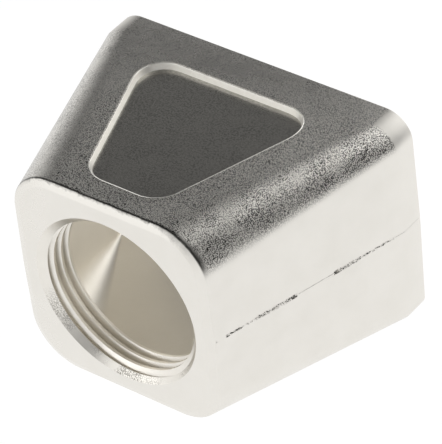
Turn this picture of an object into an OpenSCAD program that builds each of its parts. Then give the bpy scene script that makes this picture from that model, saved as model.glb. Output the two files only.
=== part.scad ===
// Flared connector cap, one die casting: a tapped cable entry in the small front face,
// an open rectangular mouth at the wide rear end. It rests on its base, front towards -Y.
// The origin is the middle of the base. All sizes are in millimetres and degrees.

/* [Body] */
// Width of the small end, just behind its bevelled front edge
front_w = 31.6; // [31:0.2:40]
// Width of the wide end, over the collar
rear_w = 48.2; // [42:0.2:60]
// Height from the base to the top
body_h = 32; // [31.5:0.5:40]
// Length from the front face to the rim of the mouth
body_l = 34.4; // [28:0.2:50]
// Length of the straight collar behind the flare
collar_l = 3.7; // [3.2:0.1:6]
// Wall thickness, square to the cap's axis
wall = 3; // [2.2:0.1:4]

/* [Edges] */
// Corner radius of the small end
front_corner_r = 7; // [5:0.5:9]
// Upper corner radius of the wide end
rear_top_r = 3.9; // [2:0.1:6]
// Lower corner radius of the wide end
rear_base_r = 1.6; // [1:0.1:6]
// How far the bevel around the front face reaches in over the face
front_bevel_w = 1.3; // [0.8:0.1:1.6]
// Slope of that bevel, measured from the sides
front_bevel_slope = 70; // [50:5:75]
// Rounding between the bevel and the sides
front_edge_r = 0.25; // [0.1:0.05:0.4]
// Rounding between the bevel and the front face
front_face_r = 0.6; // [0.2:0.1:0.8]
// Radius of the hollow's corners at the front wall, where they are fullest
core_corner_r = 6; // [4:0.5:8]
// Distance from the front face at which those corners have shrunk to their least
core_corner_l = 22; // [16:0.5:26]
// Least radius of an inside corner
inner_corner_r = 0.5; // [0.3:0.1:1.5]
// Height of the parting line, where the sides are widest
parting_z = 15.5; // [12:0.5:20]
// Draft of the sides, above and below the parting line
draft = 1; // [0.5:0.25:2]

/* [Cable entry] */
// Nominal diameter of the entry's metric thread
thread_d = 25; // [16:0.5:25.5]
// Pitch of the entry's thread
thread_pitch = 1.5; // [1:0.25:2]
// Height of the entry's axis above the base
entry_z = 15.7; // [15:0.1:18]
// Thickness of the front wall, which carries the thread
entry_l = 5.5; // [4:0.25:8]
// How far the countersink's rim stands outside the thread
rim_margin = 0.5; // [0.25:0.05:0.6]

/* [Top field] */
// Distance of the sunk field from the front face
field_front = 4.1; // [3:0.1:6]
// Distance of the sunk field from the rim of the mouth
field_rear = 6.1; // [4.5:0.1:9]
// Width of the field's front edge, measured to its sharp corners
field_front_w = 12; // [10:0.5:16]
// Width of the field's rear edge, measured to its sharp corners
field_rear_w = 29.2; // [20:0.2:32]
// Corner radius of the field
field_corner_r = 4.2; // [2:0.1:4.5]
// Depth of the field's floor below the top
field_depth = 0.95; // [0.3:0.05:1.2]
// How far the field's sloped edge runs in from its rim to its floor
field_slope_w = 0.25; // [0.1:0.05:1]

/* [Mouth] */
// Depth of the rebate that locates the cap on the connector's housing
rebate_l = 2.5; // [1.5:0.1:3]
// How far the rebate is cut into the wall
rebate_w = 1; // [0.5:0.1:1.5]

/* [Hidden] */
metal = [0.79, 0.78, 0.75];
corner_steps = 12;
edge_steps = 3;
field_steps = 10;
over = 1;
$fn = 96;

// The basic profile of a metric internal thread is 5/8 of a sharp vee of 60 degrees
thread_depth = thread_pitch * cos(30) * 5 / 8;
entry_r = thread_d / 2 - thread_depth;
rim_r = thread_d / 2 + rim_margin;
countersink_l = rim_r - entry_r;
front_edge_l = front_face_r * (1 - sin(front_bevel_slope)) + front_edge_r * sin(front_bevel_slope)
    + (front_bevel_w - front_face_r * cos(front_bevel_slope) - front_edge_r * (1 - cos(front_bevel_slope)))
        / tan(front_bevel_slope);
flare_end = body_l - collar_l;
field_end = body_l - field_rear;
field_side = atan((field_rear_w - field_front_w) / 2 / (field_end - field_front));

// Value at distance y from the front face of a size that changes evenly along the flare
function along(y, front, rear) =
    front + (rear - front) * (min(y, flare_end) - front_edge_l) / (flare_end - front_edge_l);

// Points on an arc about a centre, from one angle to another
function arc(centre, r, from, to, steps) =
    [for (i = [0 : steps]) let (a = from + (to - from) * i / steps) centre + r * [cos(a), sin(a)]];

// A list of points followed by its mirror image, as one closed outline
function both_sides(points) =
    concat(points, [for (i = [len(points) - 1 : -1 : 0]) [-points[i].x, points[i].y]]);

// Where the centre of a side's corner arc lies across, so that the arc meets the drafted side smoothly
function corner_x(half_w, z, r) = half_w - abs(z - parting_z) * tan(draft) - r / cos(draft);

// Cross-section of the casting: rounded corners, and sides that lean in from the parting line
function section(half_w, base, top, base_r, top_r) =
    both_sides(concat(
        arc([corner_x(half_w, base + base_r, base_r), base + base_r], base_r, -90, -draft, corner_steps),
        [[half_w, parting_z]],
        arc([corner_x(half_w, top - top_r, top_r), top - top_r], top_r, draft, 90, corner_steps)));

// The casting's section at distance y from the front face, drawn in on every side
function section_at(y, inset, least_r) =
    section(
        along(y, front_w, rear_w) / 2 - inset,
        inset,
        body_h - inset,
        max(along(y, front_corner_r, rear_base_r) - inset, least_r),
        max(along(y, front_corner_r, rear_top_r) - inset, least_r));

// Outline of the sunk field, drawn in by a sloped edge
function field_outline(inset) =
    let (
        r = field_corner_r - inset,
        start = field_front + inset,
        end = field_end - inset,
        half_w = field_front_w / 2 + (inset * sin(field_side) - inset) / cos(field_side),
        reach = end - r - start)
    both_sides(concat(
        arc([half_w - r * (1 - sin(field_side)) / cos(field_side), start + r],
            r, -90, -field_side, field_steps),
        arc([half_w + (reach * sin(field_side) - r) / cos(field_side), end - r],
            r, -field_side, 90, field_steps)));

// Points of an outline that stands across the cap's axis, at distance y from the front face
function across(y, outline) = [for (p = outline) [p.x, y, p.y]];

// Points of an outline that lies level, at height z
function level(z, outline) = [for (p = outline) [p.x, p.y, z]];

// Solid through a row of outlines with equal numbers of points. The row runs away from a viewer
// who sees each outline's points in anticlockwise order.
module loft(stations) {
    n = len(stations[0]);
    last = len(stations) - 1;
    sides = [for (i = [0 : last - 1], j = [0 : n - 1])
        let (a = i * n, b = a + n, k = (j + 1) % n)
        each [[a + j, a + k, b + k], [a + j, b + k, b + j]]];
    ends = [[for (j = [n - 1 : -1 : 0]) j], [for (j = [0 : n - 1]) last * n + j]];
    polyhedron(points = [for (station = stations) each station], faces = concat(sides, ends));
}

// Section of the front edge at distance y from the front face, drawn in from the start of the flare
function front_edge(y, inset) =
    let (r = front_corner_r - inset)
    across(y, section(front_w / 2 - inset, inset, body_h - inset, r, r));

// The outside: a steep bevel that is rounded into the front face and the sides, the flare, and the
// straight collar
module outside() {
    loft(concat(
        [for (a = arc([0, 0], 1, 90, front_bevel_slope, edge_steps))
            front_edge(front_face_r * (1 - a.y), front_bevel_w - front_face_r * a.x)],
        [for (a = arc([0, 0], 1, front_bevel_slope, 0, edge_steps))
            front_edge(front_edge_l - front_edge_r * a.y, front_edge_r * (1 - a.x))],
        [for (y = [flare_end, body_l]) across(y, section_at(y, 0, 0))]));
}

// The hollow, which follows the outside one wall thickness in and opens at the mouth. Its corners
// are full at the front wall and shrink towards the mouth, as on the core that forms it.
module hollow() {
    loft(concat(
        [across(entry_l, section_at(entry_l, wall, core_corner_r))],
        [for (y = [core_corner_l, flare_end, body_l + over])
            across(y, section_at(y, wall, inner_corner_r))]));
}

// The rebate around the mouth
module rebate() {
    loft([for (y = [body_l - rebate_l, body_l + over])
        across(y, section_at(y, wall - rebate_w, inner_corner_r))]);
}

// The entry's bore at the thread's minor diameter, with a countersink at the front face
module entry() {
    translate([0, 0, entry_z])
        rotate([-90, 0, 0]) {
            translate([0, 0, -over])
                cylinder(h = entry_l + 2 * over, r = entry_r);
            translate([0, 0, -over])
                cylinder(h = countersink_l + over, r1 = rim_r + over, r2 = entry_r);
        }
}

// The sunk field in the top, with a sloped edge all round
module field() {
    loft([
        level(body_h + over, field_outline(0)),
        level(body_h, field_outline(0)),
        level(body_h - field_depth, field_outline(field_slope_w))]);
}

module cap_body() {
    color(metal)
        translate([0, -body_l / 2, 0])
            difference() {
                outside();
                hollow();
                rebate();
                entry();
                field();
            }
}

cap_body();
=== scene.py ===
"""Looks of a die-cast connector cap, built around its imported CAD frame.

The cap is one zinc casting with a bright nickel plate: a flared, hollow shell with a tapped cable
entry in its small front face, a sunk field in its top and an open mouth at its wide rear end.
Pieces are modelled in millimetres, as by hand, and brought to the frame's metres at the end.
"""

import logging
import math
from dataclasses import dataclass, field
from enum import Enum
from typing import Callable

import bmesh
import bpy
from bpy.types import ID, Material, Node, NodeSocket, NodeTree, Object
from mathutils import Matrix, Vector


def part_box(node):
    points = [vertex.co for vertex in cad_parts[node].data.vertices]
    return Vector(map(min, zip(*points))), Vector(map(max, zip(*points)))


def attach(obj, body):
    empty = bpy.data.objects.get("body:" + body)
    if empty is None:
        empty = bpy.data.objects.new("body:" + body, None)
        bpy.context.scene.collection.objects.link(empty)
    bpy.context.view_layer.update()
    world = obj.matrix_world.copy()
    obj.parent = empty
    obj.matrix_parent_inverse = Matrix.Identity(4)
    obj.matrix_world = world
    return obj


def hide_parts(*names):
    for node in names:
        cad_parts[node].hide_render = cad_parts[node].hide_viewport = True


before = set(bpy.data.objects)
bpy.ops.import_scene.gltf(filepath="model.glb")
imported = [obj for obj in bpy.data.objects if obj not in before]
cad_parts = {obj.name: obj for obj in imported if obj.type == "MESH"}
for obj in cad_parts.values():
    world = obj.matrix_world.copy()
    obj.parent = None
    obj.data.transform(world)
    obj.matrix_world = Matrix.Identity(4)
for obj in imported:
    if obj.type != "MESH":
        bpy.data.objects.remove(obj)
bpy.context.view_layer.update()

LOG = logging.getLogger("connector_cap")

# Metres in one millimetre
MM = 0.001
# How near, in millimetres, a place has to be to count as the same place
NEAR = 0.01
# How far, in millimetres, a cutter stands past the face that it opens
OVER = 1.0
# Points nearer to each other than this, in millimetres, are merged
MERGE = 0.0005
# How far a part of a face's unit normal may be off for the face to count as facing a given way
STRAY = 0.05
# Half the angle of a metric thread's vee
HALF_VEE = math.radians(30)
# Most values of a noise texture lie between these
NOISE_SPAN = (0.3, 0.7)
# The frame's body that the cap rides on, and the node that it stands for
BODY = "root"
NODE = "cap_body"


class Pick(Enum):
    """What an edit-mode selection takes hold of."""

    POINT = "VERT"
    EDGE = "EDGE"
    FACE = "FACE"


def deselect() -> None:
    """Leave edit mode and deselect every object."""
    if bpy.context.object and bpy.context.object.mode != "OBJECT":
        bpy.ops.object.mode_set(mode="OBJECT")
    bpy.ops.object.select_all(action="DESELECT")


def take(piece: Object) -> None:
    """Make one object the only selected one, and the active one."""
    deselect()
    piece.select_set(True)
    bpy.context.view_layer.objects.active = piece


def edit(piece: Object) -> None:
    """Open one object in edit mode, with all others deselected."""
    take(piece)
    bpy.ops.object.mode_set(mode="EDIT")


def begin_mesh(name: str, place: tuple[float, float, float] = (0.0, 0.0, 0.0)) -> Object:
    """Start an empty mesh object and open it in edit mode.

    Args:
        name: Name of the object and its mesh.
        place: Where the object's origin is, in millimetres.

    Returns:
        The new object, active and in edit mode.
    """
    deselect()
    bpy.ops.object.add(type="MESH", location=place)
    piece = bpy.context.object
    piece.name = name
    piece.data.name = name
    bpy.ops.object.mode_set(mode="EDIT")
    return piece


def pick(kind: Pick, test: Callable[[Vector, Vector], bool]) -> None:
    """Select points, edges or faces of the mesh in edit mode by their place and direction.

    Args:
        kind: What is selected.
        test: Takes a place and a direction (an edge's run, or a normal) and says whether to select.
    """
    bpy.ops.mesh.select_mode(type=kind.value)
    bpy.ops.mesh.select_all(action="DESELECT")
    edited = bpy.context.edit_object.data
    cage = bmesh.from_edit_mesh(edited)
    if kind is Pick.POINT:
        facts = [(point, point.co, point.normal) for point in cage.verts]
    elif kind is Pick.EDGE:
        facts = [
            (edge, (edge.verts[0].co + edge.verts[1].co) / 2, edge.verts[1].co - edge.verts[0].co)
            for edge in cage.edges
        ]
    else:
        facts = [(face, face.calc_center_median(), face.normal) for face in cage.faces]
    for item, place, direction in facts:
        if test(place, direction):
            item.select_set(True)
    cage.select_flush_mode()
    bmesh.update_edit_mesh(edited, loop_triangles=False, destructive=False)


def pick_all(kind: Pick) -> None:
    """Select all points, edges or faces of the mesh in edit mode."""
    bpy.ops.mesh.select_mode(type=kind.value)
    bpy.ops.mesh.select_all(action="SELECT")


def extrude(move: tuple[float, float, float]) -> None:
    """Extrude what is selected by a move in millimetres."""
    bpy.ops.mesh.extrude_region_move(TRANSFORM_OT_translate={"value": move})


def scale_about(factors: tuple[float, float, float], centre: tuple[float, float, float]) -> None:
    """Scale what is selected about a centre in millimetres."""
    bpy.ops.transform.resize(value=factors, center_override=centre)


def round_off(kind: Pick, offset: float, segments: int) -> None:
    """Round off the selected points or edges, from an offset in millimetres to each side of them."""
    affect = "VERTICES" if kind is Pick.POINT else "EDGES"
    bpy.ops.mesh.bevel(offset=offset, offset_type="OFFSET", segments=segments, profile=0.5, affect=affect)


def close_mesh() -> None:
    """Cap the open ends of the mesh in edit mode, merge doubles and point its faces outwards."""
    bpy.ops.mesh.select_mode(type=Pick.EDGE.value)
    bpy.ops.mesh.select_all(action="DESELECT")
    bpy.ops.mesh.select_non_manifold()
    bpy.ops.mesh.fill_holes(sides=0)
    bpy.ops.mesh.select_all(action="SELECT")
    bpy.ops.mesh.remove_doubles(threshold=MERGE)
    bpy.ops.mesh.normals_make_consistent(inside=False)


def apply_modifier(piece: Object, kind: str, **settings: object) -> None:
    """Add a modifier with its settings to a piece and apply it.

    Args:
        piece: The object to change.
        kind: Blender's name of the modifier.
        settings: The modifier's own settings.
    """
    take(piece)
    bpy.ops.object.modifier_add(type=kind)
    modifier = piece.modifiers[-1]
    for name, value in settings.items():
        setattr(modifier, name, value)
    bpy.ops.object.modifier_apply(modifier=modifier.name)


def cut(piece: Object, cutter: Object) -> None:
    """Cut one closed mesh out of another, and remove the cutter."""
    apply_modifier(piece, "BOOLEAN", operation="DIFFERENCE", solver="EXACT", object=cutter)
    bpy.data.objects.remove(cutter)


def join(piece: Object, added: Object) -> None:
    """Join one closed mesh to another that it reaches into, and remove the first."""
    apply_modifier(piece, "BOOLEAN", operation="UNION", solver="EXACT", object=added)
    bpy.data.objects.remove(added)


def to_metres(piece: Object) -> None:
    """Bring a piece modelled in millimetres to metres, with its object at the origin."""
    take(piece)
    piece.scale = (MM, MM, MM)
    piece.location = piece.location * MM
    bpy.ops.object.transform_apply(location=True, rotation=True, scale=True)


def metres(lengths: tuple[float, ...]) -> tuple[float, ...]:
    """Turn lengths in millimetres into metres."""
    return tuple(length * MM for length in lengths)


def linear(code: str) -> tuple[float, float, float, float]:
    """Turn an sRGB hex colour into Blender's linear one.

    Args:
        code: The colour as "#RRGGBB".

    Returns:
        Linear red, green and blue, and an alpha of 1.
    """
    shares = [int(code[at : at + 2], 16) / 255 for at in (1, 3, 5)]
    red, green, blue = (
        share / 12.92 if share <= 0.04045 else ((share + 0.055) / 1.055) ** 2.4 for share in shares
    )
    return red, green, blue, 1.0


def clear_nodes(owner: ID) -> NodeTree:
    """Give a new material or world an empty node tree, and return it."""
    owner.use_nodes = True
    owner.node_tree.nodes.clear()
    return owner.node_tree


def add_node(
    tree: NodeTree, kind: str, inputs: dict[str | int, object] | tuple[object, ...] = (), **settings: object
) -> Node:
    """Add a node to a tree with its settings, its input values and the links into it.

    Args:
        tree: The material's or world's node tree.
        kind: Blender's name of the node.
        inputs: What goes into each input, by its name or number or in the order of the node's inputs: a
            value, the socket that feeds it, or a node whose first output in use feeds it.
        settings: The node's own settings.

    Returns:
        The new node.
    """
    node = tree.nodes.new(kind)
    for name, value in settings.items():
        setattr(node, name, value)
    for name, value in inputs.items() if isinstance(inputs, dict) else enumerate(inputs):
        if isinstance(value, Node):
            value = next(socket for socket in value.outputs if socket.enabled)
        if isinstance(value, NodeSocket):
            tree.links.new(value, node.inputs[name])
        else:
            node.inputs[name].default_value = value
    return node


@dataclass(frozen=True)
class SkinMarks:
    """How the making and the handling of the casting have marked its skin.

    Places are in the frame's millimetres, and slopes are the upward part of a face's normal. A pair
    runs from where a mark is strongest to where it has ended, unless its own line says otherwise.

    Attributes:
        drawn: Slopes where the grain and its painted pit shade are left off the sides and where they are
            whole.
        blast: Values of the patches' noise where the blast was weakest and where it was strongest.
        corner_pits: Slopes where the pits and their painted shade start to deepen on the corners and where
            they are deepest.
        corner_grain_height: Share of the grain's height that is left there.
        flat: Slopes where the collar's smooth corner ends and where its level top begins.
        front: Places along Y at the polished front edge.
        collar: Places along Y at the smooth collar.
        rear_way: Direction away from the worn rear of the top.
        rear: Places along that direction.
        side_way: Direction away from the worn -X side, square to its flare.
        side: Places along that direction.
        pit: Heights of the grain at the edge and at the floor of a pit.
        mean_pit_shade: Mean depth of the painted pit shade where the pits are too fine to see.
        worn_gloss: Share of the roughness that is left where the top has no grain at all.
        corner_matt: How much rougher the collar's corners are than the rest.
        tear_size: Distance from one tear of the torn line to the next.
        tear_line: Places along Y between which the torn line wanders.
        tear_grows: Places along X between which it widens.
        tear_width: Its least and its greatest half width.
        tear_core: Half width of its darkest part.
    """

    drawn: tuple[float, float] = (0.1, 0.45)
    blast: tuple[float, float] = (0.35, 0.65)
    corner_pits: tuple[float, float] = (0.85, 0.6)
    corner_grain_height: float = 0.92
    flat: tuple[float, float] = (0.985, 0.998)
    front: tuple[float, float] = (-16.9, -16.65)
    collar: tuple[float, float] = (13.7, 13.4)
    rear_way: tuple[float, float, float] = (0.3, -0.954, 0.0)
    rear: tuple[float, float] = (-14.0, -2.0)
    side_way: tuple[float, float, float] = (1.0, 0.275, 0.0)
    side: tuple[float, float] = (-14.9, -11.9)
    pit: tuple[float, float] = (0.52, 0.42)
    mean_pit_shade: float = 0.18
    worn_gloss: float = 0.55
    corner_matt: float = 1.5
    tear_size: float = 0.9
    tear_line: tuple[float, float] = (-16.76, -16.5)
    tear_grows: tuple[float, float] = (8.0, 14.0)
    tear_width: tuple[float, float] = (0.28, 0.8)
    tear_core: float = 0.05


@dataclass(frozen=True)
class GrainLeft:
    """Nodes for the share of the grain left on the sides, front edge, collar's corners and top."""

    sides: Node
    front: Node
    collar: Node
    top: Node


@dataclass(frozen=True)
class NickelFinish:
    """Bright nickel plate on zinc, over a surface made in one way.

    Attributes:
        name: Name of the material.
        bright: Colour of the plate where it is cleanest.
        dull: Colour of the plate where it has dulled.
        pit: Colour painted into the pits of the grain; on the blasted skin it is painted shade.
        patch: Size of the dull patches, in millimetres.
        roughness: Lowest and highest roughness, which vary with the patches.
        grain: Distance from one grain of the surface to the next, in millimetres.
        relief: Height of the grain, in millimetres.
        worn_top: Share of the grain that is left at the rear and the -X side of the top.
        worn_ends: Share of the grain that is left on the front edge and the collar's corners.
        torn_line_shade: Depth of the torn line where the polish of the front edge stops: painted shade over
            a slight bump.
        evenness: Strength of the grain in its weakest and its strongest patches.
        marks: Where the wear and the torn line lie.
    """

    name: str
    bright: str
    dull: str
    pit: str
    patch: float
    roughness: tuple[float, float]
    grain: float
    relief: float
    worn_top: float = 1.0
    worn_ends: float = 1.0
    torn_line_shade: float = 0.0
    evenness: tuple[float, float] = (0.7, 1.3)
    marks: SkinMarks = SkinMarks()

    def build(self) -> Material:
        """Make the material.

        Returns:
            The material, with its nodes.
        """
        material = bpy.data.materials.new(self.name)
        tree = clear_nodes(material)
        where = add_node(tree, "ShaderNodeTexCoord")
        place = where.outputs["Object"]
        upward = add_node(tree, "ShaderNodeSeparateXYZ", (where.outputs["Normal"],)).outputs["Z"]
        patches = add_node(
            tree,
            "ShaderNodeTexNoise",
            {"Vector": place, "Scale": 1 / (self.patch * MM), "Detail": 3.0, "Roughness": 0.6},
        )
        plate = add_node(
            tree,
            "ShaderNodeMix",
            {"Factor": patches, 6: linear(self.dull), 7: linear(self.bright)},
            data_type="RGBA",
        )
        left = self._wear(tree, place, upward)
        pits = self._pits(tree, place, upward, patches, left)
        torn = self._torn_shade_line(tree, place, left)
        # Pits and the torn line set the bump and draw the colour to the pit colour, painted shade on the
        # skin
        depth = add_node(tree, "ShaderNodeMath", (pits, torn), operation="MAXIMUM")
        colour = add_node(
            tree, "ShaderNodeMix", {"Factor": depth, 6: plate, 7: linear(self.pit)}, data_type="RGBA"
        )
        bump = add_node(
            tree, "ShaderNodeBump", {"Height": depth, "Strength": 1.0, "Distance": -self.relief * MM}
        )
        roughness = self._roughness(tree, patches, left)
        shader = add_node(
            tree,
            "ShaderNodeBsdfPrincipled",
            {"Base Color": colour, "Metallic": 1.0, "Roughness": roughness, "Normal": bump},
        )
        add_node(tree, "ShaderNodeOutputMaterial", {"Surface": shader})
        return material

    def _wear(self, tree: NodeTree, place: NodeSocket, upward: NodeSocket) -> GrainLeft:
        """Find where the grain and its painted pit shade are left off the sides and worn off elsewhere.

        Args:
            tree: The material's node tree.
            place: Place on the piece.
            upward: Upward part of the normal.

        Returns:
            The shares of the grain that are left.
        """
        marks = self.marks
        # The grain's bump and painted pit shade are left off the upright sides and the lower half
        sides = add_node(
            tree, "ShaderNodeMapRange", (upward, *marks.drawn), interpolation_type="SMOOTHSTEP"
        )
        # Polish has taken the grain off the front edge, and handling off the top's rear and its -X edge
        along = add_node(tree, "ShaderNodeSeparateXYZ", (place,)).outputs["Y"]
        rear, side = (
            add_node(tree, "ShaderNodeVectorMath", (place, way), operation="DOT_PRODUCT")
            for way in (marks.rear_way, marks.side_way)
        )
        front, collar, rear, side = (
            add_node(tree, "ShaderNodeMapRange", (value, *metres(places), share, 1.0))
            for value, places, share in (
                (along, marks.front, self.worn_ends),
                (along, marks.collar, self.worn_ends),
                (rear, marks.rear, self.worn_top),
                (side, marks.side, self.worn_top),
            )
        )
        flat = add_node(tree, "ShaderNodeMapRange", (upward, *marks.flat))
        collar = add_node(tree, "ShaderNodeMath", (collar, flat), operation="MAXIMUM")
        top = add_node(tree, "ShaderNodeMath", (rear, side), operation="MINIMUM")
        return GrainLeft(sides, front, collar, top)

    def _pits(
        self, tree: NodeTree, place: NodeSocket, upward: NodeSocket, patches: Node, left: GrainLeft
    ) -> Node:
        """Add the pits of the grain, whose depth sets their bump and draws the colour to the pit colour.

        Args:
            tree: The material's node tree.
            place: Place on the piece.
            upward: Upward part of the normal.
            patches: Noise of the dull patches.
            left: Shares of the grain that are left.

        Returns:
            The depth of the pits, as a share of the grain's height.
        """
        marks = self.marks
        grain = add_node(
            tree,
            "ShaderNodeTexNoise",
            {"Vector": place, "Scale": 1 / (self.grain * MM), "Detail": 1.0, "Roughness": 0.5},
        )
        # The pits, with their bump and painted shade, are deeper on the lower half of the upper corners
        corner_pits = add_node(tree, "ShaderNodeMapRange", (upward, *marks.corner_pits, 1.0, marks.corner_grain_height))
        height = add_node(tree, "ShaderNodeMath", (grain, corner_pits), operation="MULTIPLY")
        pits = add_node(tree, "ShaderNodeMapRange", (height, *marks.pit))
        # On the collar and the worn top the grain is too fine to see, and the mean tone of its painted
        # pit shade is left
        seen = add_node(tree, "ShaderNodeMath", (left.collar, left.top), operation="MULTIPLY")
        fine = add_node(tree, "ShaderNodeMix", {"Factor": seen, 2: marks.mean_pit_shade, 3: pits})
        # The blast did not strike evenly, so the grain is stronger in some patches
        clouds = add_node(tree, "ShaderNodeMapRange", (patches, *marks.blast, *self.evenness))
        share = left.sides
        for part in (left.front, clouds):
            share = add_node(tree, "ShaderNodeMath", (share, part), operation="MULTIPLY")
        return add_node(tree, "ShaderNodeMath", (fine, share), operation="MULTIPLY")

    def _torn_shade_line(self, tree: NodeTree, place: NodeSocket, left: GrainLeft) -> Node:
        """Add the depth of the thin torn line where the front face's polish stops: painted shade over a
        slight bump.
        """
        marks = self.marks
        along = add_node(tree, "ShaderNodeSeparateXYZ", (place,)).outputs
        tear = add_node(
            tree,
            "ShaderNodeTexNoise",
            {"Vector": place, "Scale": 1 / (marks.tear_size * MM), "Detail": 5.0, "Roughness": 0.75},
        )
        line = add_node(tree, "ShaderNodeMapRange", (tear, *NOISE_SPAN, *metres(marks.tear_line)))
        width = add_node(
            tree,
            "ShaderNodeMapRange",
            (along["X"], *metres(marks.tear_grows), *metres(marks.tear_width)),
        )
        offset = add_node(tree, "ShaderNodeMath", (along["Y"], line), operation="SUBTRACT")
        away = add_node(tree, "ShaderNodeMath", (offset,), operation="ABSOLUTE")
        # Painted shade: the torn line draws the colour to the dark pit colour and dents the bump
        torn = add_node(
            tree, "ShaderNodeMapRange", (away, width, marks.tear_core * MM, 0.0, self.torn_line_shade)
        )
        return add_node(tree, "ShaderNodeMath", (torn, left.sides), operation="MULTIPLY")

    def _roughness(self, tree: NodeTree, patches: Node, left: GrainLeft) -> Node:
        """Add the roughness, lower where the top is worn and higher on the collar's corners."""
        marks = self.marks
        low, high = self.roughness
        rough = add_node(tree, "ShaderNodeMapRange", (patches, *NOISE_SPAN, high, low))
        gloss = add_node(tree, "ShaderNodeMapRange", (left.top, 0.0, 1.0, marks.worn_gloss, 1.0))
        corner = add_node(tree, "ShaderNodeMapRange", (left.sides, 0.0, 1.0, 1.0, marks.corner_matt))
        matt = add_node(tree, "ShaderNodeMapRange", (left.collar, 0.0, 1.0, corner, 1.0))
        shine = add_node(tree, "ShaderNodeMath", (gloss, matt), operation="MULTIPLY")
        return add_node(tree, "ShaderNodeMath", (rough, shine), operation="MULTIPLY")


class Surface(Enum):
    """The casting's surfaces, each with the finish that its making gave it."""

    # Blasted die skin under bright nickel: a fine grain shows through the plate, so flat faces mirror
    # softly and rounded corners break up into specks. The dark colour in the pits is painted shade
    SKIN = NickelFinish(
        name="nickel_plate_on_blasted_casting",
        bright="#EBE8E2",
        dull="#E6E3DC",
        # Painted shade in the pits of the grain
        pit="#211F1C",
        patch=4.0,
        roughness=(0.33, 0.41),
        grain=0.136,
        relief=0.018,
        worn_top=0.4,
        worn_ends=0.0,
        # Strength of the torn line's painted shade along the front edge
        torn_line_shade=0.9,
    )
    # Polished die insert: the sunk field mirrors the room more sharply and so looks darker; its colours
    # are also set darker than the rest of the plate, as painted shade
    FIELD = NickelFinish(
        name="nickel_plate_on_polished_field",
        bright="#DCDAD4",
        dull="#B9B6AF",
        pit="#B0AEA8",
        patch=3.0,
        roughness=(0.2, 0.26),
        grain=0.25,
        relief=0.0015,
    )
    # Side of the die insert: left as it was milled, so the field's edge shines evenly all round; its colour
    # is also set paler than the rest of the plate, as a painted sheen
    FIELD_EDGE = NickelFinish(
        name="nickel_plate_on_field_edge",
        bright="#FCFAF5",
        dull="#F7F5EE",
        pit="#F3F0E9",
        patch=2.0,
        roughness=(0.48, 0.53),
        grain=0.4,
        relief=0.003,
    )
    # Drawn core: smooth along the way that the core was pulled out, so the inside looks pale and even
    INSIDE = NickelFinish(
        name="nickel_plate_on_core_side",
        bright="#E2DDD3",
        dull="#DAD5CA",
        pit="#DED9CE",
        patch=6.0,
        roughness=(0.43, 0.49),
        grain=0.4,
        relief=0.0,
    )
    # Tapped before plating: bright, nearly smooth metal, so the thread's crests glint
    CUT = NickelFinish(
        name="nickel_plate_on_cut_thread",
        bright="#EFECE5",
        dull="#E6E2DA",
        pit="#EAE6DE",
        patch=1.2,
        roughness=(0.28, 0.38),
        grain=0.25,
        relief=0.004,
    )
    # Turned by hand feed before plating: chatter left dull marks on the countersink's lower half
    COUNTERSINK = NickelFinish(
        name="nickel_plate_on_turned_countersink",
        bright="#EFECE5",
        dull="#E6E2DA",
        pit="#9C9891",
        patch=5.0,
        roughness=(0.3, 0.38),
        grain=0.17,
        relief=0.0,
        evenness=(-0.4, 1.0),
    )


@dataclass(frozen=True)
class Section:
    """A rounded cross-section that stands across the cap's axis, in millimetres.

    Attributes:
        place: Distance behind the front face.
        half_width: Half its width at the parting line.
        base: Height of its lower edge.
        top: Height of its upper edge.
        base_round: Radius of its lower corners.
        top_round: Radius of its upper corners.
    """

    place: float
    half_width: float
    base: float
    top: float
    base_round: float
    top_round: float


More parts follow.
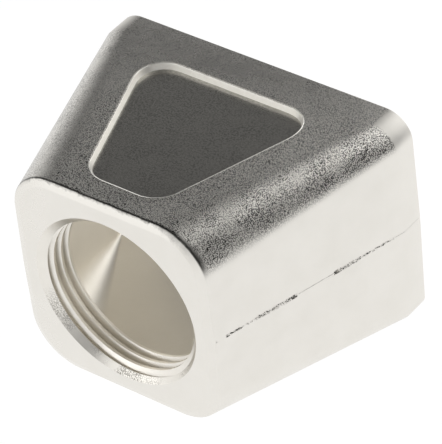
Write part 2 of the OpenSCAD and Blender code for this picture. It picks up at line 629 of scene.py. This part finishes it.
@dataclass(frozen=True)
class ShellSizes:
    """Sizes of the casting in millimetres and degrees, with the outer ones from the CAD frame."""

    rear_width: float
    length: float
    height: float
    front_width: float = 31.6
    collar_length: float = 3.7
    wall: float = 3.0
    front_corner_round: float = 7.0
    rear_top_round: float = 3.9
    rear_base_round: float = 1.6
    front_bevel_width: float = 1.3
    front_bevel_slope: float = 70.0
    front_edge_round: float = 0.25
    front_face_round: float = 0.6
    core_corner_round: float = 6.0
    core_corner_length: float = 22.0
    inner_corner_round: float = 0.5
    parting_height: float = 15.5
    draft: float = 1.0
    thread_diameter: float = 25.0
    thread_pitch: float = 1.5
    entry_height: float = 15.7
    entry_length: float = 5.5
    rim_margin: float = 0.5
    field_front: float = 4.1
    field_rear: float = 6.1
    field_front_width: float = 12.0
    field_rear_width: float = 29.2
    field_corner_round: float = 4.2
    field_depth: float = 0.95
    field_slope_width: float = 0.25
    rebate_length: float = 2.5
    rebate_width: float = 1.0

    @classmethod
    def from_frame(cls, node: str) -> "ShellSizes":
        """Take the outer sizes from a CAD node's box."""
        low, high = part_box(node)
        size = (high - low) / MM
        return cls(rear_width=size.x, length=size.y, height=size.z)

    @property
    def front(self) -> float:
        """Where the front face lies along Y in the frame."""
        return -self.length / 2

    @property
    def flare_end(self) -> float:
        """Distance of the flare's end behind the front face."""
        return self.length - self.collar_length

    @property
    def front_edge_length(self) -> float:
        """Distance of the flare's start behind the front face."""
        slope = math.radians(self.front_bevel_slope)
        turns = self.front_face_round * (1 - math.sin(slope)) + self.front_edge_round * math.sin(slope)
        return turns + self.front_bevel_inset / math.tan(slope)

    @property
    def front_bevel_inset(self) -> float:
        """How far the straight part of the front edge's bevel reaches in over the face."""
        slope = math.radians(self.front_bevel_slope)
        turns = self.front_face_round * math.cos(slope) + self.front_edge_round * (1 - math.cos(slope))
        return self.front_bevel_width - turns

    @property
    def entry_radius(self) -> float:
        """Minor radius of the thread, whose groove is 5/8 of a sharp vee of 60 degrees deep."""
        return self.thread_diameter / 2 - self.thread_pitch * math.cos(HALF_VEE) * 5 / 8

    @property
    def rim_radius(self) -> float:
        """Radius of the countersink at the front face."""
        return self.thread_diameter / 2 + self.rim_margin

    @property
    def field_run(self) -> float:
        """Length of the sunk field along Y."""
        return self.length - self.field_front - self.field_rear

    @property
    def countersink_length(self) -> float:
        """Depth of the countersink, which is cut at 45 degrees."""
        return self.rim_radius - self.entry_radius

    def along(self, place: float, front: float, rear: float) -> float:
        """Value, at a place behind the front face, of a size that changes evenly along the flare."""
        run = self.flare_end - self.front_edge_length
        share = (min(place, self.flare_end) - self.front_edge_length) / run
        return front + (rear - front) * share

    def section_at(self, place: float, inset: float = 0.0, least_round: float = 0.0) -> Section:
        """The casting's section at a distance behind the front face, drawn in on every side.

        Args:
            place: Distance behind the front face.
            inset: How far the section is drawn in.
            least_round: Smallest radius of a corner.

        Returns:
            The section.
        """
        base_round = self.along(place, self.front_corner_round, self.rear_base_round) - inset
        top_round = self.along(place, self.front_corner_round, self.rear_top_round) - inset
        return Section(
            place=place,
            half_width=self.along(place, self.front_width, self.rear_width) / 2 - inset,
            base=inset,
            top=self.height - inset,
            base_round=max(base_round, least_round),
            top_round=max(top_round, least_round),
        )

    def depth_under_skin(self, at: Vector) -> float:
        """How far a place lies under the sides, base and top of the casting.

        Args:
            at: The place, in millimetres.

        Returns:
            The distance to the outside, measured across the cap's axis.
        """
        section = self.section_at(at.y - self.front)
        upper = at.z > self.parting_height
        radius = section.top_round if upper else section.base_round
        beside = section.half_width - abs(at.x)
        above = section.top - at.z if upper else at.z - section.base
        if beside < radius and above < radius:
            return radius - math.hypot(radius - beside, radius - above)
        return min(beside, above)

    def in_field(self, at: Vector) -> bool:
        """Whether a place in millimetres lies within the sunk field's outline, seen from above."""
        run = self.field_run
        share = (at.y - self.front - self.field_front) / run
        width = self.field_front_width + share * (self.field_rear_width - self.field_front_width)
        return -NEAR < share * run < run + NEAR and abs(at.x) < width / 2 + NEAR


@dataclass(frozen=True)
class FlashStretch:
    """A stretch of the flash that the die's halves left along the parting line, in millimetres.

    Attributes:
        start: Distance of its start behind the front face.
        end: Distance of its end behind the front face.
        height: How far the flash stands out.
        reach: How far the torn metal reaches above and below the line.
        tear: How far the torn metal wanders in and out.
    """

    start: float
    end: float
    height: float
    reach: float
    tear: float


@dataclass(frozen=True)
class Nick:
    """A small hollow that was left where the flash of the +X side broke out, in millimetres.

    Attributes:
        place: Distance of its middle behind the front face.
        drop: How far its middle lies below the parting line.
        length: Half its length along the line.
        height: Half its height.
        depth: How far it goes in.
    """

    place: float
    drop: float
    length: float
    height: float
    depth: float


@dataclass
class CapCasting:
    """The cap itself: a flared shell cast in one piece, then tapped.

    Attributes:
        sizes: The casting's sizes.
        corner_steps: Segments in each rounded corner of a section.
        edge_steps: Segments in each turn of the front edge.
        rim_steps: Segments in the field's softened rim.
        bore_steps: Sides of the bore and steps in one turn of the thread.
        flare_cuts: Rings between two sections that are joined.
        thread_start: Distance behind the front face of a groove's middle on the +X side.
        thread_overlap: How far the groove's cutter reaches in from the bore.
        edge_break: Rounding of the edges that the tool left sharp.
        break_steps: Segments in such a rounding.
        smooth_angle: Greatest angle of an edge that is shaded smooth, in degrees.
        lip: Height and width of the lip that the die insert left around the field.
        flash_rows: Rows of faces along each side of the parting line that carry the flash.
        flash_row: Height of such a row.
        flash_cuts: Cuts along the flash between two rings of the flare.
        flash: The flash's stretches, from the front to the rear.
        nicks: The nicks in the flash.
    """

    sizes: ShellSizes
    corner_steps: int = 16
    edge_steps: int = 4
    rim_steps: int = 3
    bore_steps: int = 128
    flare_cuts: int = 6
    thread_start: float = 2.15
    thread_overlap: float = 0.25
    edge_break: float = 0.12
    break_steps: int = 2
    smooth_angle: float = 30.0
    lip: float = 0.06
    flash_rows: int = 4
    flash_row: float = 0.11
    flash_cuts: int = 28
    flash: tuple[FlashStretch, ...] = (
        FlashStretch(start=0.9, end=2.4, height=0.015, reach=0.05, tear=0.01),
        FlashStretch(start=2.4, end=7.0, height=0.035, reach=0.15, tear=0.09),
        FlashStretch(start=7.0, end=10.5, height=0.035, reach=0.25, tear=0.1),
        FlashStretch(start=10.5, end=13.4, height=0.035, reach=0.25, tear=0.09),
        FlashStretch(start=13.4, end=19.3, height=0.04, reach=0.05, tear=0.004),
        FlashStretch(start=19.3, end=23.5, height=0.04, reach=0.25, tear=0.1),
        FlashStretch(start=23.5, end=29.0, height=0.035, reach=0.15, tear=0.08),
        # The collar's points come in no fixed order, so its flash is left without tears
        FlashStretch(start=29.0, end=34.1, height=0.04, reach=0.05, tear=0.0),
    )
    nicks: tuple[Nick, ...] = (
        Nick(place=0.8, drop=0.0, length=0.15, height=0.15, depth=0.08),
        Nick(place=2.5, drop=0.0, length=0.25, height=0.15, depth=0.12),
        Nick(place=12.9, drop=0.14, length=0.34, height=0.25, depth=0.26),
        Nick(place=19.75, drop=0.05, length=0.42, height=0.3, depth=0.36),
    )
    piece: Object = field(init=False)

    def build(self) -> Object:
        """Model the casting.

        Returns:
            The finished piece, in the frame's metres.
        """
        self.piece = self._outside()
        join(self.piece, self._lip())
        for cutter in (self._hollow(), self._rebate(), self._field(), self._entry(), self._thread()):
            cut(self.piece, cutter)
        self._break_edges()
        self._smooth()
        to_metres(self.piece)
        return self.piece

    def dress(self) -> None:
        """Give each surface of the casting its finish, by where its faces lie."""
        for surface in Surface:
            self.piece.data.materials.append(surface.value.build())
        edit(self.piece)
        for slot, surface in enumerate(Surface):
            pick(Pick.FACE, lambda at, normal: self._surface_at(at / MM, normal) is surface)
            self.piece.active_material_index = slot
            bpy.ops.object.material_slot_assign()
        deselect()

    def _surface_at(self, at: Vector, normal: Vector) -> Surface:
        """Which surface a face belongs to.

        Args:
            at: The face's middle, in millimetres.
            normal: The face's normal.

        Returns:
            The surface.
        """
        sizes = self.sizes
        behind = at.y - sizes.front
        from_axis = math.hypot(at.x, at.z - sizes.entry_height)
        if behind < sizes.entry_length - NEAR and from_axis < sizes.rim_radius and normal.y > STRAY - 1:
            turned = behind < sizes.countersink_length and abs(normal.y + math.sqrt(0.5)) < STRAY
            return Surface.COUNTERSINK if turned else Surface.CUT
        rim = behind > sizes.length - NEAR and normal.y > 1 - STRAY
        if behind > sizes.entry_length - NEAR and sizes.depth_under_skin(at) > sizes.wall / 2 and not rim:
            return Surface.INSIDE
        sunk = sizes.height - at.z
        if NEAR < sunk < 2 * sizes.field_depth and sizes.in_field(at):
            floor = normal.z > 1 - STRAY and sunk > sizes.field_depth / 2
            return Surface.FIELD if floor else Surface.FIELD_EDGE
        if sunk < -NEAR:
            return Surface.FIELD_EDGE
        return Surface.SKIN

    def _at(self, place: float) -> float:
        """Turn a distance behind the front face into a place along Y."""
        return self.sizes.front + place

    def _add_section(self, section: Section) -> None:
        """Add a section's outline to the mesh in edit mode, as one rounded face.

        Args:
            section: The outline to draw.
        """
        sizes = self.sizes
        y = self._at(section.place)
        lean = math.tan(math.radians(sizes.draft))
        tangent = math.tan(math.radians(90 - sizes.draft) / 2)
        bpy.ops.mesh.select_all(action="DESELECT")
        middle = (section.base + section.top) / 2
        bpy.ops.mesh.primitive_plane_add(size=1, location=(0, y, middle), rotation=(math.pi / 2, 0, 0))
        scale_about((2 * section.half_width, 1, section.top - section.base), (0, y, middle))
        bpy.ops.mesh.bisect(plane_co=(0, 0, sizes.parting_height), plane_no=(0, 0, 1))
        bpy.ops.mesh.dissolve_edges(use_verts=False)
        for height, radius in ((section.base, section.base_round), (section.top, section.top_round)):
            inset = abs(height - sizes.parting_height) * lean
            pick(Pick.POINT, lambda at, _: abs(at.y - y) < NEAR and abs(at.z - height) < NEAR)
            scale_about((1 - inset / section.half_width, 1, 1), (0, y, height))
            round_off(Pick.POINT, radius * tangent, self.corner_steps)

    def _loft(self, name: str, sections: list[Section], straight: float) -> Object:
        """Join a row of sections and carry the last one straight on.

        Args:
            name: Name of the new object.
            sections: The sections, from the front to the rear.
            straight: How far the last section runs on, unchanged.

        Returns:
            A closed solid in edit mode.
        """
        solid = begin_mesh(name)
        for section in sections:
            self._add_section(section)
        pick_all(Pick.POINT)
        bpy.ops.mesh.delete(type="ONLY_FACE")
        pick_all(Pick.EDGE)
        bpy.ops.mesh.bridge_edge_loops(number_cuts=self.flare_cuts, interpolation="LINEAR")
        close_mesh()
        end = self._at(sections[-1].place)
        pick(Pick.FACE, lambda at, normal: abs(at.y - end) < NEAR and normal.y > 1 - STRAY)
        extrude((0, straight, 0))
        return solid

    def _outside(self) -> Object:
        """Loft the flare and the collar, and shape the edge of the front face by small insets."""
        sizes = self.sizes
        ends = [sizes.section_at(place) for place in (sizes.front_edge_length, sizes.flare_end)]
        solid = self._loft("cap_casting", ends, sizes.collar_length)
        self._raise_flash()
        face = self._at(sizes.front_edge_length)
        pick(Pick.FACE, lambda at, normal: abs(at.y - face) < NEAR and normal.y < STRAY - 1)
        steep = math.radians(sizes.front_bevel_slope)
        self._turn_in(sizes.front_edge_round, 0.0, steep)
        bpy.ops.mesh.inset(
            thickness=sizes.front_bevel_inset, depth=sizes.front_bevel_inset / math.tan(steep)
        )
        self._turn_in(sizes.front_face_round, steep, math.pi / 2)
        return solid

    def _raise_flash(self) -> None:
        """Raise a torn flash along the parting line of both sides of the mesh in edit mode."""
        line = self.sizes.parting_height
        band = (self.flash_rows - 0.5) * self.flash_row

        def on_line(at: Vector, run: Vector, reach: float = NEAR) -> bool:
            """Whether an edge runs along the parting line, or within a reach of it."""
            return abs(at.z - line) < reach and abs(run.z) < NEAR and abs(run.y) > NEAR

        pick(Pick.EDGE, on_line)
        round_off(Pick.EDGE, self.flash_rows * self.flash_row, 2 * self.flash_rows)
        pick(Pick.EDGE, lambda at, run: on_line(at, run, band))
        bpy.ops.mesh.subdivide(number_cuts=self.flash_cuts)
        for number, stretch in enumerate(self.flash):
            start = self._at(stretch.start)
            end = self._at(stretch.end)
            ridge = self.flash_row / 2
            for side in (-1, 1):
                pick(
                    Pick.POINT,
                    lambda at, _: start <= at.y < end and abs(at.z - line) < ridge and side * at.x > 0,
                )
                bpy.ops.transform.translate(value=(side * stretch.height, 0, 0))
            pick(Pick.POINT, lambda at, _: start <= at.y < end and abs(at.z - line) < stretch.reach)
            bpy.ops.transform.vertex_random(offset=stretch.tear, uniform=0.0, normal=1.0, seed=number)
        for nick in self.nicks:
            y = self._at(nick.place)
            z = line - nick.drop
            pick(
                Pick.POINT,
                lambda at, _: at.x > 0
                and math.hypot((at.y - y) / nick.length, (at.z - z) / nick.height) < 1,
            )
            bpy.ops.transform.translate(value=(-nick.depth, 0, 0))

    def _turn_in(self, radius: float, low: float, high: float) -> None:
        """Round off the edge of the selected face by small insets.

        Args:
            radius: Radius of the rounding.
            low: Slope of its first tangent against the sides, in radians.
            high: Slope of its last tangent.
        """
        angle = (high - low) / self.edge_steps
        for step in range(self.edge_steps):
            first = low + step * angle
            second = first + angle
            inset = radius * (math.cos(first) - math.cos(second))
            bpy.ops.mesh.inset(thickness=inset, depth=radius * (math.sin(second) - math.sin(first)))

    def _hollow(self) -> Object:
        """The hollow, whose corners are full at the front wall and shrink towards the mouth."""
        sizes = self.sizes
        sections = [sizes.section_at(sizes.entry_length, sizes.wall, sizes.core_corner_round)]
        for place in (sizes.core_corner_length, sizes.flare_end):
            sections.append(sizes.section_at(place, sizes.wall, sizes.inner_corner_round))
        return self._loft("hollow_cutter", sections, sizes.collar_length + OVER)

    def _rebate(self) -> Object:
        """The rebate around the mouth, which locates the cap on a connector's housing."""
        sizes = self.sizes
        inset = sizes.wall - sizes.rebate_width
        places = (sizes.length - sizes.rebate_length, sizes.length)
        sections = [sizes.section_at(place, inset, sizes.inner_corner_round) for place in places]
        return self._loft("rebate_cutter", sections, OVER)

    def _field_plan(self, name: str, spread: float, height: float) -> Object:
        """Draw the field's outline as one level face.

        Args:
            name: Name of the new object.
            spread: How far the outline is drawn out on every side.
            height: Height of the face.

        Returns:
            The face's object, in edit mode with the face selected.
        """
        sizes = self.sizes
        slope = (sizes.field_rear_width - sizes.field_front_width) / 2 / sizes.field_run
        lean = math.atan(slope)
        start = self._at(sizes.field_front) - spread
        end = self._at(sizes.length - sizes.field_rear) + spread
        front = sizes.field_front_width + 2 * spread * (1 / math.cos(lean) - slope)
        rear = sizes.field_rear_width + 2 * spread * (1 / math.cos(lean) + slope)
        plan = begin_mesh(name)
        bpy.ops.mesh.primitive_plane_add(size=1, location=(0, (start + end) / 2, height))
        scale_about((rear, end - start, 1), (0, (start + end) / 2, height))
        pick(Pick.POINT, lambda at, _: abs(at.y - start) < NEAR)
        scale_about((front / rear, 1, 1), (0, start, height))
        for place, corner in ((start, math.pi / 2 + lean), (end, math.pi / 2 - lean)):
            pick(Pick.POINT, lambda at, _: abs(at.y - place) < NEAR)
            offset = (sizes.field_corner_round + spread) / math.tan(corner / 2)
            round_off(Pick.POINT, offset, self.corner_steps)
        pick_all(Pick.FACE)
        return plan

    def _lip(self) -> Object:
        """The low lip that the gap around the die insert left along the field's rim."""
        sizes = self.sizes
        lip = self._field_plan("field_lip", self.edge_break + self.lip, sizes.height - OVER)
        extrude((0, 0, OVER))
        close_mesh()
        pick(Pick.FACE, lambda _, normal: normal.z > 1 - STRAY)
        bpy.ops.mesh.inset(thickness=self.lip, depth=self.lip)
        return lip

    def _field(self) -> Object:
        """The sunk field in the top, with a steep edge and a softened rim all round."""
        sizes = self.sizes
        rim = self.edge_break
        cutter = self._field_plan("field_cutter", rim, sizes.height)
        extrude((0, 0, OVER))
        close_mesh()
        pick(Pick.FACE, lambda _, normal: normal.z < STRAY - 1)
        steep = math.atan2(sizes.field_depth, sizes.field_slope_width)
        radius = rim / math.tan(steep / 2)
        turn = steep / self.rim_steps
        for step in range(self.rim_steps):
            inset = radius * (math.sin((step + 1) * turn) - math.sin(step * turn))
            rise = radius * (math.cos(step * turn) - math.cos((step + 1) * turn))
            bpy.ops.mesh.inset(thickness=inset, depth=rise)
        left = sizes.field_depth - radius * (1 - math.cos(steep))
        bpy.ops.mesh.inset(thickness=left / math.tan(steep), depth=left)
        return cutter

    def _entry(self) -> Object:
        """The entry's bore at the thread's minor diameter, with its countersink."""
        sizes = self.sizes
        radius = sizes.entry_radius
        start = self._at(sizes.countersink_length)
        end = self._at(sizes.entry_length + OVER)
        cutter = begin_mesh("entry_cutter")
        bpy.ops.mesh.primitive_cylinder_add(
            vertices=self.bore_steps,
            radius=radius,
            depth=end - start,
            location=(0, (start + end) / 2, sizes.entry_height),
            rotation=(math.pi / 2, 0, 0),
        )
        pick(Pick.FACE, lambda _, normal: normal.y < STRAY - 1)
        outside = self._at(-OVER)
        extrude((0, outside - start, 0))
        spread = (sizes.rim_radius + OVER) / radius
        scale_about((spread, 1, spread), (0, outside, sizes.entry_height))
        return cutter

    def _thread(self) -> Object:
        """The right-handed thread's groove, one vee swept along its helix."""
        sizes = self.sizes
        pitch = sizes.thread_pitch
        root = sizes.thread_diameter / 2
        inner = sizes.entry_radius - self.thread_overlap
        # A metric thread's groove ends in a flat that is an eighth of the pitch wide
        root_width = pitch / 8
        inner_width = root_width + 2 * (root - inner) * math.tan(HALF_VEE)
        turns = math.ceil((sizes.entry_length + 2 * pitch) / pitch) + 1
        start = self._at(self.thread_start) - pitch * math.ceil(self.thread_start / pitch + 1)
        cutter = begin_mesh("thread_cutter", (0, 0, sizes.entry_height))
        middle = (inner + root) / 2
        centre = (middle, start, sizes.entry_height)
        bpy.ops.mesh.primitive_plane_add(size=1, location=centre)
        scale_about((root - inner, inner_width, 1), centre)
        pick(Pick.POINT, lambda at, _: at.x > middle)
        scale_about((1, root_width / inner_width, 1), centre)
        pick_all(Pick.POINT)
        bpy.ops.mesh.delete(type="ONLY_FACE")
        apply_modifier(
            cutter,
            "SCREW",
            axis="Y",
            angle=2 * math.pi,
            screw_offset=pitch,
            iterations=turns,
            steps=self.bore_steps,
            render_steps=self.bore_steps,
        )
        edit(cutter)
        close_mesh()
        take(cutter)
        bpy.ops.object.transform_apply(location=True, rotation=True, scale=True)
        return cutter

    def _break_edges(self) -> None:
        """Take the sharpness off the edges of the mouth."""
        rear = self._at(self.sizes.length)
        edit(self.piece)
        pick_all(Pick.POINT)
        bpy.ops.mesh.remove_doubles(threshold=MERGE)
        pick(Pick.EDGE, lambda at, run: abs(at.y - rear) < NEAR and abs(run.y) < NEAR)
        round_off(Pick.EDGE, self.edge_break, self.break_steps)

    def _smooth(self) -> None:
        """Shade the casting smooth between its real edges."""
        take(self.piece)
        bpy.ops.object.shade_smooth_by_angle(angle=math.radians(self.smooth_angle))
        apply_modifier(self.piece, "WEIGHTED_NORMAL", keep_sharp=True)


def towards(turn: float, rise: float) -> Vector:
    """Direction from the cap to a place round it.

    Args:
        turn: Degrees round the cap from the front, anticlockwise seen from above.
        rise: Degrees above the table.

    Returns:
        A unit vector.
    """
    around = math.radians(turn)
    up = math.radians(rise)
    return Vector((math.sin(around) * math.cos(up), -math.cos(around) * math.cos(up), math.sin(up)))


@dataclass(frozen=True)
class Softbox:
    """A soft box that faces the cap, sizes in millimetres.

    Attributes:
        name: Name of the lamp.
        turn: Degrees round the cap from the front, anticlockwise seen from above.
        rise: Degrees above the table.
        distance: How far it stands from the cap.
        width: Its width.
        height: Its height.
        brightness: Its radiance, where 1 shows as white.
    """

    name: str
    turn: float
    rise: float
    distance: float
    width: float
    height: float
    brightness: float

    def build(self) -> None:
        """Add the lamp, which lights the cap but stays out of the picture."""
        direction = towards(self.turn, self.rise)
        deselect()
        bpy.ops.object.light_add(
            type="AREA",
            location=direction * self.distance * MM,
            rotation=direction.to_track_quat("Z", "Y").to_euler(),
        )
        lamp = bpy.context.object
        lamp.name = self.name
        lamp.data.shape = "RECTANGLE"
        lamp.data.size = self.width * MM
        lamp.data.size_y = self.height * MM
        lamp.data.energy = self.brightness * math.pi * self.width * self.height * MM * MM
        lamp.visible_camera = False


@dataclass(frozen=True)
class Studio:
    """A white table in a light tent with soft boxes; lengths in millimetres, angles in degrees.

    Attributes:
        table_radius: Radius of the table top.
        table_rim: Width of the ring along its edge.
        table_sides: Sides of its outline.
        table_colour: Colour of the table where it lights the cap.
        table_glow: Brightness of the table to the camera and in the plate, where 1 shows as white.
        glow_share: Share of that glow in what they see.
        flag: Turn and rise of the middle of the dark flag.
        flag_edge: Cosines of the angles from there at which the flag starts to fade and has ended.
        bright_side: Turn and rise of the side where the walls' glow reaches highest.
        bright_edge: Cosines of the angles from there at which it starts to rise and is highest.
        bright_rise: Sine of the rise that the full glow reaches there.
        ceiling_rise: Sine of the rise where the ceiling begins.
        walls: Brightness of the walls at the table.
        ceiling: Brightness of the ceiling.
        softboxes: The soft boxes.
    """

    table_radius: float = 130.0
    table_rim: float = 10.0
    table_sides: int = 96
    table_colour: str = "#F0F0F0"
    table_glow: float = 1.08
    glow_share: float = 0.9
    flag: tuple[float, float] = (100.0, 14.0)
    flag_edge: tuple[float, float] = (0.968, 0.885)
    bright_side: tuple[float, float] = (175.0, 0.0)
    bright_edge: tuple[float, float] = (0.3, 0.9)
    bright_rise: float = 0.15
    ceiling_rise: float = 0.62
    walls: float = 1.3
    ceiling: float = 0.11
    softboxes: tuple[Softbox, ...] = (
        Softbox("softbox_right", 134.0, 47.5, distance=130.0, width=105.0, height=112.0, brightness=1.1),
        Softbox("softbox_rear", 163.0, 28.0, distance=75.0, width=44.0, height=58.0, brightness=0.98),
        Softbox("softbox_left", 321.0, 32.0, distance=1000.0, width=1100.0, height=1000.0, brightness=1.0),
    )

    def build(self) -> None:
        """Set the table, the lamps and the tent's light."""
        self._floor()
        for softbox in self.softboxes:
            softbox.build()
        self._room()

    def _room(self) -> None:
        """A tent whose pale walls fade into a dark ceiling, with a dark flag on the right."""
        world = bpy.data.worlds.new("light_tent")
        tree = clear_nodes(world)
        way = add_node(tree, "ShaderNodeTexCoord").outputs["Generated"]
        height = add_node(tree, "ShaderNodeSeparateXYZ", (way,)).outputs["Z"]
        flag, bright = (
            add_node(tree, "ShaderNodeVectorMath", (way, towards(*side)), operation="DOT_PRODUCT")
            for side in (self.flag, self.bright_side)
        )
        unflagged, raised = (
            add_node(
                tree, "ShaderNodeMapRange", (side, *edge, 0.0, most), interpolation_type="SMOOTHSTEP"
            )
            for side, edge, most in (
                (flag, self.flag_edge, 1.0),
                (bright, self.bright_edge, self.bright_rise),
            )
        )
        walls = add_node(
            tree, "ShaderNodeMapRange", (height, raised, self.ceiling_rise, self.walls, self.ceiling)
        )
        level = add_node(tree, "ShaderNodeMath", (unflagged, walls), operation="MULTIPLY")
        room = add_node(tree, "ShaderNodeBackground", {"Strength": level})
        add_node(tree, "ShaderNodeOutputWorld", {"Surface": room})
        bpy.context.scene.world = world

    def _floor(self) -> None:
        """A round white table top, which glows a little to the camera and in the plate."""
        floor = begin_mesh("floor")
        bpy.ops.mesh.primitive_circle_add(
            vertices=self.table_sides, radius=self.table_radius, fill_type="NGON", location=(0, 0, -NEAR)
        )
        pick_all(Pick.FACE)
        bpy.ops.mesh.inset(thickness=self.table_rim, depth=0.0)
        to_metres(floor)
        material = bpy.data.materials.new("white_table")
        tree = clear_nodes(material)
        rays = add_node(tree, "ShaderNodeLightPath").outputs
        share = rays["Is Camera Ray"]
        for ray in (rays["Is Glossy Ray"], rays["Is Transmission Ray"]):
            share = add_node(tree, "ShaderNodeMath", (share, ray), operation="ADD", use_clamp=True)
        share = add_node(tree, "ShaderNodeMath", (share, self.glow_share), operation="MULTIPLY")
        plain = add_node(tree, "ShaderNodeBsdfDiffuse", {"Color": linear(self.table_colour)})
        glow = add_node(tree, "ShaderNodeEmission", {"Strength": self.table_glow})
        both = add_node(tree, "ShaderNodeMixShader", (share, plain, glow))
        add_node(tree, "ShaderNodeOutputMaterial", {"Surface": both})
        floor.data.materials.append(material)


@dataclass(frozen=True)
class PhotoCamera:
    """The camera at the photograph's angle, sizes in millimetres and degrees.

    Attributes:
        aim: The place in the middle of the picture.
        turn: Degrees round the cap from the front, anticlockwise seen from above.
        rise: Degrees above the table.
        roll: Degrees that the camera is turned about its own axis.
        distance: How far it stands from the place that it aims at.
        lens: Focal length.
        sensor: Width of the sensor.
    """

    aim: tuple[float, float, float] = (2.646, 2.194, 16.358)
    turn: float = 41.352
    rise: float = 39.242
    roll: float = -7.084
    distance: float = 470.0
    lens: float = 289.9
    sensor: float = 36.0

    def build(self) -> None:
        """Add the camera and make it the scene's own."""
        back = towards(self.turn, self.rise)
        level = back.to_track_quat("Z", "Y").to_matrix()
        rolled = level @ Matrix.Rotation(math.radians(self.roll), 3, "Z")
        deselect()
        bpy.ops.object.camera_add(
            location=(Vector(self.aim) + back * self.distance) * MM, rotation=rolled.to_euler()
        )
        camera = bpy.context.object
        camera.name = "photo_camera"
        camera.data.sensor_width = self.sensor
        camera.data.lens = self.lens
        bpy.context.scene.camera = camera


def main() -> None:
    """Build the cap, dress it and set the studio."""
    bpy.context.scene.view_settings.view_transform = "Standard"
    sizes = ShellSizes.from_frame(NODE)
    casting = CapCasting(sizes)
    piece = casting.build()
    casting.dress()
    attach(piece, BODY)
    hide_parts(NODE)
    LOG.info("%s: %d faces", piece.name, len(piece.data.polygons))
    Studio().build()
    PhotoCamera().build()


if __name__ == "__main__":
    logging.basicConfig(level=logging.INFO)
    main()
